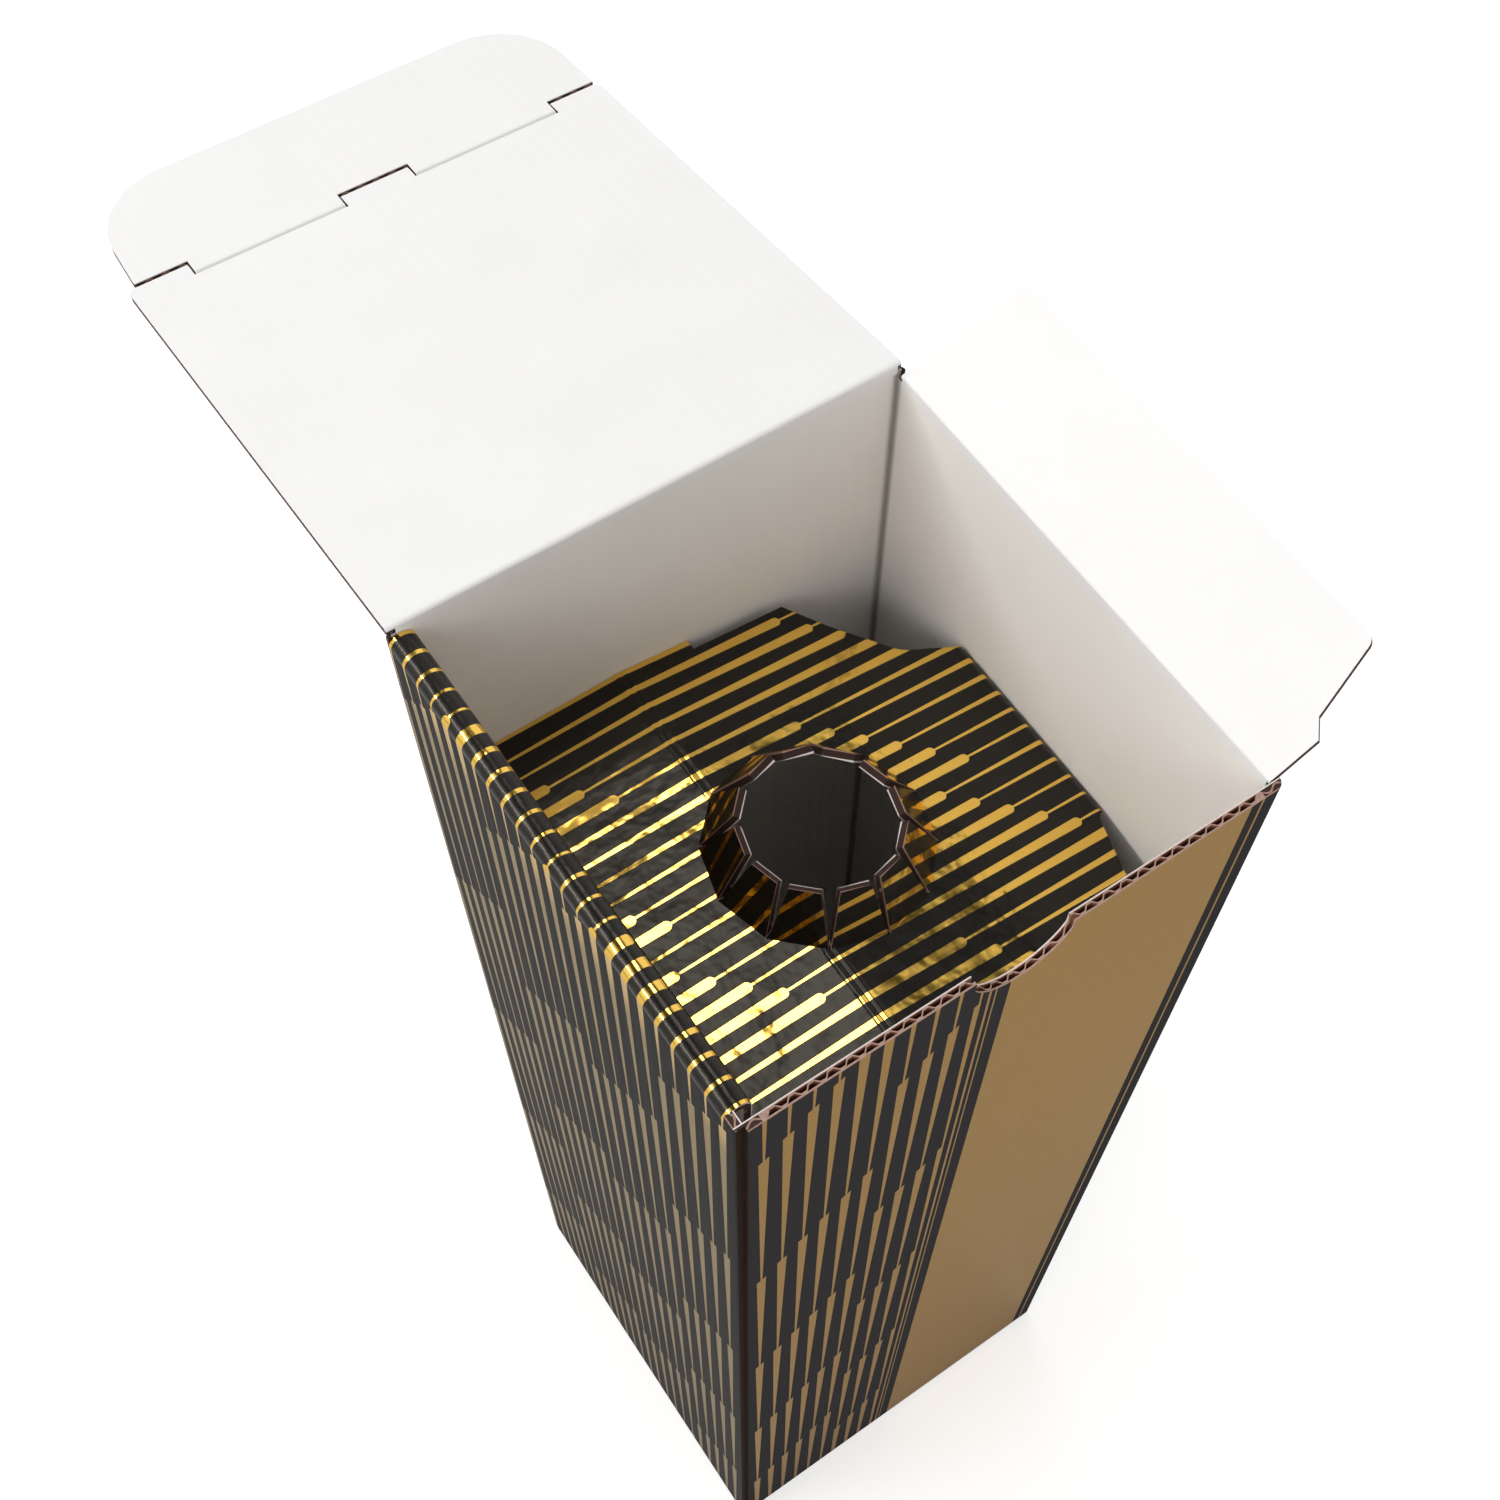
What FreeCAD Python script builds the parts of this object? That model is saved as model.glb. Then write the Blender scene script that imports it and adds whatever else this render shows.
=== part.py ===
# Bottle shipping box: a tall square carton of E-flute board, glued up from one printed and die-cut blank.
# Its lid, tuck flap and dust flap stand open. The neck support is a fourth flap, rolled over the left wall
# and folded down inside, with a star cut whose fingers stand up round the bottle's neck.
# Millimetres, +Z up, origin in the middle of the underside. The front wall, with the thumb notch, faces -Y.

import FreeCAD
import Part
import Sketcher
import math
import os

from FreeCAD import Rotation, Vector

SIZES = {
    # the blank and the folded tube
    "board": 1.6,
    "box_width": 100,
    "box_depth": 100,
    "box_height": 310,
    "fold_radius": 1.8,
    "raw_edge_setback": 1,
    "glue_tab_width": 14,
    "glue_tab_drop": 29,
    "glue_tab_slant": 4,
    "notch_width": 18,
    "notch_step": 2.5,
    "notch_sag": 6,
    # the fluted middle of the board, open to view along the front wall's raw rim
    "liner": 0.3,
    "medium": 0.25,
    "flute_pitch": 3.3,
    "flute_wide": 2.35,
    "flute_narrow": 0.9,
    "flute_below_notch": 5,
    "plain_corner": 3,
    # the snap-lock bottom
    "seam_width": 0.5,
    "seam_depth": 0.8,
    "lock_reach": 14,
    "lock_half_width": 24,
    "lock_lean": 6,
    "side_flap_gap": 10,
    # the running clearance between a flap and whatever it passes, and the room round a crease
    "flap_clearance": 0.3,
    "hinge_gap": 0.4,
    # the lid and its tuck flap
    "lid_left_inset": 0.2,
    "lid_right_inset": 1.1,
    "lid_corner_radius": 1.5,
    "lid_angle": 188,
    "tuck_length": 28,
    "tuck_taper": 1.4,
    "tuck_corner_radius": 16,
    "tuck_angle": 5,
    "end_slit_length": 10.4,
    "middle_slit_half": 7.4,
    "slit_width": 0.8,
    "tongue_reach": 2.15,
    "slit_side_gap": 0.4,
    # the dust flap
    "dust_length": 25.5,
    "dust_shoulder": 9,
    "dust_step": 2.8,
    "dust_step_run": 2.5,
    "dust_near_taper": 3.6,
    "dust_far_inset": 0.6,
    "dust_far_taper": 2.4,
    "dust_corner_radius": 2,
    "dust_angle": 152,
    # the neck support, from its roll over the left wall to the leg at the right wall
    "roll_radius": 2.4,
    "flap_near_inset": 3.8,
    "flap_far_inset": 1.8,
    "collar_drop": 44.2,
    "ridge_drop": 43.4,
    "ridge_offset": 10.5,
    "shelf_drop": 49.8,
    "leg_length": 30,
    "leg_wall_gap": 0.3,
    "bend_radius": 2,
    "step_offset": 4,
    "step_depth": 2.2,
    "cut_start": 23.5,
    "cut_mid_x": 28.5,
    "cut_mid_y": 38,
    "cut_end_x": 37,
    "cut_end_y": 26.5,
    "leg_far": 22,
    "leg_near": 20.5,
    "near_cut_x": 42,
    "near_cut_y": 36,
    "cut_radius": 6,
    # the star cut
    "neck_radius": 21,
    "finger_count": 12,
    "finger_length": 10.5,
    "finger_tip_width": 5.6,
    "finger_angle": 58,
    "finger_root": 1.2,
}

PARTS_FOLDER = "parts"

# Distances that several sub-parts share, as expressions on the sheet's cells.
WIDE = "Sizes.box_width / 2"
DEEP = "Sizes.box_depth / 2"
INNER_X = "(Sizes.box_width / 2 - Sizes.board)"
INNER_Y = "(Sizes.box_depth / 2 - Sizes.board)"
TOP = "Sizes.box_height"
HALF_BOARD = "Sizes.board / 2"
DUST_SEAT = "(Sizes.board + Sizes.hinge_gap)"
FLAP_NEAR = "(Sizes.box_depth / 2 - Sizes.flap_near_inset)"
FLAP_FAR = "(Sizes.box_depth / 2 - Sizes.flap_far_inset)"
LEG_FACE = "(Sizes.box_width / 2 - Sizes.board - Sizes.leg_wall_gap)"
TUCK_PLANE = "(Sizes.box_depth / 2 - 1.5 * Sizes.board - Sizes.flap_clearance)"
LID_REACH = "(Sizes.box_depth / 2 - Sizes.board / 2 + " + TUCK_PLANE + ")"
TUCK_HALF = "(Sizes.box_width / 2 - Sizes.board - Sizes.flap_clearance)"
SLIT_END = "(" + TUCK_HALF + " - Sizes.end_slit_length)"
TUCK_RELIEF = "(Sizes.tongue_reach + Sizes.slit_width)"
# An edge round of half the board would leave no flat between its two fillets.
KNUCKLE_SHARE = 0.49

doc = FreeCAD.newDocument("bottle_box")
sheet = doc.addObject("Spreadsheet::Sheet", "Sizes")


def fill_sheet():
    """Write each driving dimension to the sheet under its own name."""
    for row, (name, value) in enumerate(SIZES.items(), start=1):
        sheet.set("A%d" % row, name)
        sheet.set("B%d" % row, str(value))
        sheet.setAlias("B%d" % row, name)
    doc.recompute()


def value_of(expression):
    """The number that an expression on the sheet's cells gives."""
    answer = sheet.evalExpression(expression)
    return float(getattr(answer, "Value", answer))


def new_body(label):
    body = doc.addObject("PartDesign::Body", label)
    body.Label = label
    return body


def new_sketch(body, name, plane, height="0"):
    """A sketch on one of the body's origin planes, raised by height along the plane's normal."""
    sketch = body.newObject("Sketcher::SketchObject", name)
    support = [f for f in body.Origin.OriginFeatures if f.Role == plane][0]
    sketch.AttachmentSupport = [(support, "")]
    sketch.MapMode = "FlatFace"
    sketch.setExpression("AttachmentOffset.Base.z", height)
    return sketch


def pin(sketch, geometry, vertex, across, along):
    """Hold one sketch point at two expressions from the sketch's origin."""
    for kind, expression in (("DistanceX", across), ("DistanceY", along)):
        value = value_of(expression)
        index = sketch.addConstraint(Sketcher.Constraint(kind, -1, 1, geometry, vertex, value))
        sketch.setExpression("Constraints[%d]" % index, expression)


def draw_outline(sketch, corners):
    """Add a closed outline of straight lines whose corners are pairs of expressions."""
    points = [Vector(value_of(across), value_of(along), 0) for across, along in corners]
    first = sketch.GeometryCount
    for start, end in zip(points, points[1:] + points[:1]):
        sketch.addGeometry(Part.LineSegment(start, end), False)
    for step in range(len(corners)):
        follower = first + (step + 1) % len(corners)
        sketch.addConstraint(Sketcher.Constraint("Coincident", first + step, 2, follower, 1))
    for step, (across, along) in enumerate(corners):
        pin(sketch, first + step, 1, across, along)


def draw_box(sketch, left, right, low, high):
    draw_outline(sketch, [(left, low), (right, low), (right, high), (left, high)])


def draw_circle(sketch, across, along, radius):
    centre = Vector(value_of(across), value_of(along), 0)
    index = sketch.addGeometry(Part.Circle(centre, Vector(0, 0, 1), value_of(radius)), False)
    pin(sketch, index, 3, across, along)
    size = sketch.addConstraint(Sketcher.Constraint("Radius", index, value_of(radius)))
    sketch.setExpression("Constraints[%d]" % size, radius)


def pad(body, name, sketch, length):
    feature = body.newObject("PartDesign::Pad", name)
    feature.Profile = sketch
    feature.setExpression("Length", length)
    doc.recompute()
    return feature


def pocket(body, name, sketch, depth=None, reverse=False):
    """Cut a sketch into the body, to a depth or right through."""
    feature = body.newObject("PartDesign::Pocket", name)
    feature.Profile = sketch
    if depth is None:
        feature.Type = "ThroughAll"
    else:
        feature.setExpression("Length", depth)
    feature.Reversed = reverse
    doc.recompute()
    return feature


def fillet(body, name, radius, chosen):
    """Round the edges of the body's tip for which chosen(edge) holds."""
    base = body.Tip
    names = ["Edge%d" % (n + 1) for n, edge in enumerate(base.Shape.Edges) if chosen(edge)]
    feature = body.newObject("PartDesign::Fillet", name)
    feature.Base = (base, names)
    feature.setExpression("Radius", radius)
    doc.recompute()
    return feature


def near(a, b):
    return abs(a - b) < 1e-4


def ends(edge):
    return [vertex.Point for vertex in edge.Vertexes]


def all_at(edge, axis, place):
    """Whether every end of an edge has this coordinate on this axis (0, 1 or 2)."""
    return all(near(point[axis], place) for point in ends(edge))


def stands_at(edge, x, y):
    return len(edge.Vertexes) == 2 and all_at(edge, 0, x) and all_at(edge, 1, y)


def straight(edge):
    return not edge.Degenerated and edge.Curve.TypeId == "Part::GeomLine"


def carton_body():
    """The four walls, the glue tab and the closed bottom: a block, hollowed from above."""
    body = new_body("carton_body")
    half_x, half_y = value_of(WIDE), value_of(DEEP)

    block = new_sketch(body, "WallOutline", "XY_Plane")
    draw_box(block, "-" + WIDE, WIDE, "-" + DEEP, DEEP)
    pad(body, "WallBlock", block, TOP)

    def is_fold(edge):
        upright = any(stands_at(edge, x, y) for x in (-half_x, half_x) for y in (-half_y, half_y))
        return upright or all_at(edge, 2, 0)

    fillet(body, "WallFolds", "Sizes.fold_radius", is_fold)

    inside = new_sketch(body, "InnerOutline", "XY_Plane", TOP)
    draw_box(inside, "-" + INNER_X, INNER_X, "-" + INNER_Y, INNER_Y)
    pocket(body, "Inside", inside, TOP + " - 2 * Sizes.board")

    # The glue tab carries on from the front wall and lies behind the left wall's raw edge.
    tab = new_sketch(body, "TabOutline", "YZ_Plane", "-" + INNER_X)
    tab_top = TOP + " - Sizes.glue_tab_drop"
    draw_outline(tab, [
        ("-" + INNER_Y, "0"),
        ("-" + INNER_Y + " + Sizes.glue_tab_width", "0"),
        ("-" + INNER_Y + " + Sizes.glue_tab_width", tab_top + " - Sizes.glue_tab_slant"),
        ("-" + INNER_Y, tab_top),
    ])
    pad(body, "GlueTab", tab, "Sizes.board")
    raw = new_sketch(body, "RawEdgeCorner", "XY_Plane", TOP)
    draw_box(raw, "-" + WIDE + " - Sizes.board", "-" + INNER_X,
             "-" + DEEP + " - Sizes.board", "-" + DEEP + " + Sizes.raw_edge_setback")
    pocket(body, "RawEdge", raw)

    # The neck support rolls over the left wall, and the dust flap folds one board lower than the lid.
    roll_seat = new_sketch(body, "RollSeatOutline", "XY_Plane", TOP)
    draw_box(roll_seat, "-" + WIDE + " - Sizes.board", "-" + INNER_X, "-" + FLAP_NEAR, INNER_Y)
    pocket(body, "RollSeat", roll_seat, "Sizes.roll_radius")
    dust_seat = new_sketch(body, "DustSeatOutline", "XY_Plane", TOP)
    draw_box(dust_seat, INNER_X, WIDE + " + Sizes.board", "-" + INNER_Y, INNER_Y)
    pocket(body, "DustSeat", dust_seat, DUST_SEAT)

    lid_rim = value_of(TOP)
    dust_rim = lid_rim - value_of(DUST_SEAT)

    def is_hinge_rim(edge):
        if not straight(edge):
            return False
        at_lid = all_at(edge, 2, lid_rim) and all_at(edge, 1, half_y)
        at_dust = all_at(edge, 2, dust_rim) and all_at(edge, 0, half_x)
        return at_lid or at_dust

    fillet(body, "HingeRims", HALF_BOARD, is_hinge_rim)

    cut_thumb_notch(body)
    open_flutes(body)
    cut_bottom_flaps(body)
    return body


def cut_thumb_notch(body):
    """The shallow notch in the front wall's rim: two short steps and an arc between them."""
    sketch = new_sketch(body, "NotchOutline", "XZ_Plane", DEEP)
    half = "Sizes.notch_width / 2"
    shoulder = TOP + " - Sizes.notch_step"
    over = TOP + " + Sizes.notch_step"
    radius = "((Sizes.notch_width / 2) ^ 2 + Sizes.notch_sag ^ 2) / (2 * Sizes.notch_sag)"
    centre_height = shoulder + " - Sizes.notch_sag + " + radius
    corners = [("-" + half, shoulder), ("-" + half, over), (half, over), (half, shoulder)]
    points = [Vector(value_of(across), value_of(along), 0) for across, along in corners]
    for start, end in zip(points, points[1:]):
        sketch.addGeometry(Part.LineSegment(start, end), False)
    dip = Vector(0, value_of(shoulder + " - Sizes.notch_sag"), 0)
    arc = sketch.addGeometry(Part.Arc(points[0], dip, points[-1]), False)
    sketch.addConstraint(Sketcher.Constraint("Coincident", 0, 2, 1, 1))
    sketch.addConstraint(Sketcher.Constraint("Coincident", 1, 2, 2, 1))
    sketch.addConstraint(Sketcher.Constraint("Coincident", arc, 1, 0, 1))
    sketch.addConstraint(Sketcher.Constraint("Coincident", arc, 2, 2, 2))
    pin(sketch, 0, 1, *corners[0])
    pin(sketch, 1, 1, *corners[1])
    pin(sketch, 2, 1, *corners[2])
    pin(sketch, 2, 2, *corners[3])
    rise = sketch.addConstraint(Sketcher.Constraint("DistanceY", -1, 1, arc, 3, value_of(centre_height)))
    sketch.setExpression("Constraints[%d]" % rise, centre_height)
    pocket(body, "ThumbNotch", sketch, "2 * Sizes.board")


def open_flutes(body):
    """The hollows either side of the board's waved middle sheet, open at the front wall's rim."""
    sketch = new_sketch(body, "FluteHollows", "XY_Plane", TOP)
    pitch = value_of("Sizes.flute_pitch")
    room = value_of("Sizes.box_width - 2 * Sizes.board - 2 * Sizes.plain_corner")
    count = int(room / pitch)
    first = "-(%d - 0.5) * Sizes.flute_pitch / 2" % count
    wide, narrow = "Sizes.flute_wide / 2", "Sizes.flute_narrow / 2"
    outer_liner = "(-" + DEEP + " + Sizes.liner)"
    inner_liner = "(-" + INNER_Y + " - Sizes.liner)"
    for middle, base, crown in (
        ("(" + first + ")", outer_liner, inner_liner + " - Sizes.medium"),
        ("(" + first + " + Sizes.flute_pitch / 2)", inner_liner, outer_liner + " + Sizes.medium"),
    ):
        draw_outline(sketch, [
            (middle + " - " + wide, base),
            (middle + " + " + wide, base),
            (middle + " + " + narrow, crown),
            (middle + " - " + narrow, crown),
        ])
    depth = "Sizes.notch_step + Sizes.notch_sag + Sizes.flute_below_notch"
    hollow = pocket(body, "FluteHollow", sketch, depth)
    row = body.newObject("PartDesign::LinearPattern", "FluteRow")
    row.Originals = [hollow]
    row.Direction = (sketch, ["H_Axis"])
    row.Occurrences = count
    row.setExpression("Length", "Sizes.flute_pitch * %d" % (count - 1))
    body.Tip = row
    doc.recompute()


def cut_bottom_flaps(body):
    """The snap-lock bottom: a lock line between the outer flaps and a gap between the inner ones."""
    seam = new_sketch(body, "LockLine", "XY_Plane")
    reach, half, lean, gap = "Sizes.lock_reach", "Sizes.lock_half_width", "Sizes.lock_lean", "Sizes.seam_width"
    edge = "(" + WIDE + " - Sizes.fold_radius)"
    upper = [
        ("-" + edge, gap),
        ("-" + half + " - " + gap, gap),
        ("-" + half + " - " + lean + " - " + gap, reach),
        (half + " + " + lean + " + " + gap, reach),
        (half + " + " + gap, gap),
        (edge, gap),
    ]
    lower = [
        (edge, "0"),
        (half, "0"),
        (half + " + " + lean, reach + " - " + gap),
        ("-" + half + " - " + lean, reach + " - " + gap),
        ("-" + half, "0"),
        ("-" + edge, "0"),
    ]
    draw_outline(seam, upper + lower)
    pocket(body, "LockSeam", seam, "Sizes.seam_depth", reverse=True)

    channel = new_sketch(body, "SideFlapGap", "XY_Plane", "2 * Sizes.board")
    draw_box(channel, "-Sizes.side_flap_gap / 2", "Sizes.side_flap_gap / 2", "-" + INNER_Y, INNER_Y)
    pocket(body, "SideFlaps", channel, "Sizes.board")


def round_hinge(body, reach):
    """Round both edges of a flap where it turns about its crease, reach behind the crease line."""
    back = -value_of(reach)

    def on_crease(edge):
        return straight(edge) and all_at(edge, 1, back) and (all_at(edge, 2, -value_of(HALF_BOARD))
                                                             or all_at(edge, 2, value_of(HALF_BOARD)))

    fillet(body, "CreaseRound", "%s * Sizes.board" % KNUCKLE_SHARE, on_crease)


def flat_flap(label, outline):
    """A flap laid flat in its own frame: crease along X through the origin, board centred on Z."""
    body = new_body(label)
    sketch = new_sketch(body, "FlapOutline", "XY_Plane", "-" + HALF_BOARD)
    draw_outline(sketch, outline)
    pad(body, "FlapBoard", sketch, "Sizes.board")
    return body


def lid_panel():
    """The lid, with three tongues that stand past the tuck crease beside its slits."""
    left = "-(" + WIDE + " - Sizes.lid_left_inset)"
    right = "(" + WIDE + " - Sizes.lid_right_inset)"
    fold = "(" + LID_REACH + " - Sizes.board / 2 - Sizes.hinge_gap)"
    tongue = "(" + LID_REACH + " + Sizes.tongue_reach)"
    slit_in = "(" + SLIT_END + " + Sizes.slit_side_gap)"
    mid_in = "(Sizes.middle_slit_half - Sizes.slit_side_gap)"
    body = flat_flap("lid_panel", [
        (left, "-" + HALF_BOARD),
        (right, "-" + HALF_BOARD),
        (right, tongue),
        (slit_in, tongue),
        (slit_in, fold),
        (mid_in, fold),
        (mid_in, tongue),
        ("-" + mid_in, tongue),
        ("-" + mid_in, fold),
        ("-" + slit_in, fold),
        ("-" + slit_in, tongue),
        (left, tongue),
    ])
    reach = value_of(tongue)
    sides = (value_of(left), value_of(right))
    fillet(body, "LidCorners", "Sizes.lid_corner_radius",
           lambda edge: any(stands_at(edge, x, reach) for x in sides))
    round_hinge(body, HALF_BOARD)
    angle = value_of("Sizes.lid_angle")
    body.Placement = FreeCAD.Placement(
        Vector(0, value_of(DEEP + " - Sizes.board / 2"), value_of(TOP + " + Sizes.hinge_gap + Sizes.board / 2")),
        Rotation(Vector(1, 0, 0), 180 - angle))
    return body


def tuck_flap():
    """The tuck flap, cut back behind the three slits and rounded at its free corners."""
    slit_end = SLIT_END
    mid = "Sizes.middle_slit_half"
    back = "-" + HALF_BOARD
    taper_end = "(" + TUCK_HALF + " - Sizes.tuck_taper)"
    body = flat_flap("tuck_flap", [
        ("-" + TUCK_HALF, TUCK_RELIEF),
        ("-" + slit_end, TUCK_RELIEF),
        ("-" + slit_end, back),
        ("-" + mid, back),
        ("-" + mid, TUCK_RELIEF),
        (mid, TUCK_RELIEF),
        (mid, back),
        (slit_end, back),
        (slit_end, TUCK_RELIEF),
        (TUCK_HALF, TUCK_RELIEF),
        (taper_end, "Sizes.tuck_length"),
        ("-" + taper_end, "Sizes.tuck_length"),
    ])
    half, length = value_of(taper_end), value_of("Sizes.tuck_length")
    fillet(body, "TuckCorners", "Sizes.tuck_corner_radius",
           lambda edge: stands_at(edge, half, length) or stands_at(edge, -half, length))
    round_hinge(body, HALF_BOARD)
    lid_angle, tuck_angle = value_of("Sizes.lid_angle"), value_of("Sizes.tuck_angle")
    turn = Rotation(Vector(1, 0, 0), 180 - lid_angle)
    hinge = Vector(0, value_of(DEEP + " - Sizes.board / 2"),
                   value_of(TOP + " + Sizes.hinge_gap + Sizes.board / 2"))
    crease = hinge + turn.multVec(Vector(0, value_of(LID_REACH), 0))
    body.Placement = FreeCAD.Placement(crease, Rotation(Vector(1, 0, 0), 180 - lid_angle + tuck_angle))
    return body


def dust_flap():
    """The dust flap: a straight shoulder at the front that drops into the lid's end slit, then a taper."""
    near_side = "(" + INNER_Y + " - Sizes.flap_clearance)"
    step_start = "Sizes.dust_shoulder"
    step_end = "Sizes.dust_shoulder + Sizes.dust_step_run"
    stepped = "(" + near_side + " - Sizes.dust_step)"
    far_side = "(" + INNER_Y + " - Sizes.flap_clearance - Sizes.dust_far_inset)"
    body = flat_flap("dust_flap", [
        ("-" + far_side, "-" + HALF_BOARD),
        (near_side, "-" + HALF_BOARD),
        (near_side, step_start),
        (stepped, step_end),
        ("(" + stepped + " - Sizes.dust_near_taper)", "Sizes.dust_length"),
        ("-(" + far_side + " - Sizes.dust_far_taper)", "Sizes.dust_length"),
    ])
    near_corner = value_of("(" + stepped + " - Sizes.dust_near_taper)")
    far_corner = value_of("-(" + far_side + " - Sizes.dust_far_taper)")
    length = value_of("Sizes.dust_length")
    fillet(body, "DustCorners", "Sizes.dust_corner_radius",
           lambda edge: stands_at(edge, near_corner, length) or stands_at(edge, far_corner, length))
    round_hinge(body, HALF_BOARD)
    # Flat and open, the flap's X runs towards the front; it then turns up about the box's Y.
    flat = Rotation(Vector(0, 0, 1), -90)
    lift = Rotation(Vector(0, 1, 0), value_of("Sizes.dust_angle") - 180)
    body.Placement = FreeCAD.Placement(
        Vector(value_of(WIDE + " - Sizes.board / 2"), 0, value_of(TOP + " - Sizes.board / 2")),
        lift.multiply(flat))
    return body


def collar_height(x):
    """Height of the neck support's printed face over the box's middle, at this x."""
    top = value_of(TOP)
    ridge_x, ridge = -value_of("Sizes.ridge_offset"), top - value_of("Sizes.ridge_drop")
    if x > ridge_x:
        end_x, end = value_of(LEG_FACE), top - value_of("Sizes.shelf_drop")
    else:
        end_x, end = -value_of(WIDE + " - 2 * Sizes.roll_radius"), top - value_of("Sizes.collar_drop")
    return ridge + (end - ridge) * (x - ridge_x) / (end_x - ridge_x)


def neck_support_board():
    """The folded flap without its fingers: roll, inner panel, collar with its ridge, and leg."""
    body = new_body("folded_flap")
    plane_height = "-" + FLAP_FAR
    width = FLAP_FAR + " + " + FLAP_NEAR
    roll_x = "-" + WIDE + " + Sizes.roll_radius"
    roll_z = TOP + " - Sizes.roll_radius"
    face_x = "(-" + WIDE + " + 2 * Sizes.roll_radius)"

    ring = new_sketch(body, "RollRing", "XZ_Plane", plane_height)
    draw_circle(ring, roll_x, roll_z, "Sizes.roll_radius")
    draw_circle(ring, roll_x, roll_z, "Sizes.roll_radius - Sizes.board")
    pad(body, "Roll", ring, width)
    below = new_sketch(body, "BelowRoll", "XZ_Plane", plane_height)
    draw_box(below, "-" + WIDE + " - Sizes.board", face_x + " + Sizes.board",
             TOP + " - 3 * Sizes.roll_radius", roll_z)
    pocket(body, "RollHalf", below, reverse=True)

    ridge_x = "-Sizes.ridge_offset"
    collar = TOP + " - Sizes.collar_drop"
    ridge = TOP + " - Sizes.ridge_drop"
    shelf = TOP + " - Sizes.shelf_drop"
    foot = shelf + " - Sizes.leg_length"
    strip = new_sketch(body, "StripSection", "XZ_Plane", plane_height)
    draw_outline(strip, [
        (face_x, roll_z),
        (face_x, collar),
        (ridge_x, ridge),
        (LEG_FACE, shelf),
        (LEG_FACE, foot),
        (LEG_FACE + " - Sizes.board", foot),
        (LEG_FACE + " - Sizes.board", shelf + " - Sizes.board"),
        (ridge_x, ridge + " - Sizes.board"),
        (face_x + " - Sizes.board", collar + " - Sizes.board"),
        (face_x + " - Sizes.board", roll_z),
    ])
    pad(body, "Strip", strip, width)

    trim_collar(body)
    round_bends(body)
    cut_star(body)
    return body


def trim_collar(body):
    """Cut the collar's free outline: a step and a hollow at the back right, a slant at the front right."""
    over = "(" + WIDE + " + Sizes.board)"
    far = new_sketch(body, "FarTrim", "XY_Plane", TOP)
    step_y = "(" + FLAP_FAR + " - Sizes.step_depth)"
    draw_outline(far, [
        ("Sizes.step_offset", over),
        ("Sizes.step_offset", step_y),
        ("Sizes.cut_start", step_y),
        ("Sizes.cut_mid_x", "Sizes.cut_mid_y"),
        ("Sizes.cut_end_x", "Sizes.cut_end_y"),
        (LEG_FACE + " - Sizes.board", "Sizes.leg_far"),
        (over, "Sizes.leg_far"),
        (over, over),
    ])
    pocket(body, "FarCorner", far)
    near_trim = new_sketch(body, "NearTrim", "XY_Plane", TOP)
    draw_outline(near_trim, [
        (LEG_FACE + " - Sizes.board", "-Sizes.leg_near"),
        ("Sizes.near_cut_x", "-Sizes.near_cut_y"),
        ("Sizes.near_cut_x", "-" + over),
        (over, "-" + over),
        (over, "-Sizes.leg_near"),
    ])
    pocket(body, "NearCorner", near_trim)
    hollow = [(value_of("Sizes.cut_mid_x"), value_of("Sizes.cut_mid_y")),
              (value_of("Sizes.cut_end_x"), value_of("Sizes.cut_end_y"))]
    fillet(body, "HollowRounds", "Sizes.cut_radius",
           lambda edge: any(stands_at(edge, x, y) for x, y in hollow))


def round_bends(body):
    """Round the printed face where it folds into the collar and over to the leg."""
    face_x = value_of("-" + WIDE + " + 2 * Sizes.roll_radius")
    collar, shelf = value_of(TOP + " - Sizes.collar_drop"), value_of(TOP + " - Sizes.shelf_drop")
    leg_x, board = value_of(LEG_FACE), value_of("Sizes.board")

    def is_bend(edge):
        if not straight(edge):
            return False
        inner_fold = all_at(edge, 0, face_x) and all_at(edge, 2, collar)
        outer_fold = all_at(edge, 0, face_x - board) and all_at(edge, 2, collar - board)
        leg_fold = all_at(edge, 0, leg_x) and all_at(edge, 2, shelf)
        return inner_fold or outer_fold or leg_fold

    fillet(body, "Bends", "Sizes.bend_radius", is_bend)


def cut_star(body):
    """Open the star cut down to the straight roots of its fingers."""
    star = new_sketch(body, "StarRoots", "XY_Plane", TOP)
    count = int(value_of("Sizes.finger_count"))
    draw_outline(star, [
        ("Sizes.neck_radius * cos(360 deg * %d / Sizes.finger_count)" % k,
         "Sizes.neck_radius * sin(360 deg * %d / Sizes.finger_count)" % k)
        for k in range(count)
    ])
    pocket(body, "StarCut", star)


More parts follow.
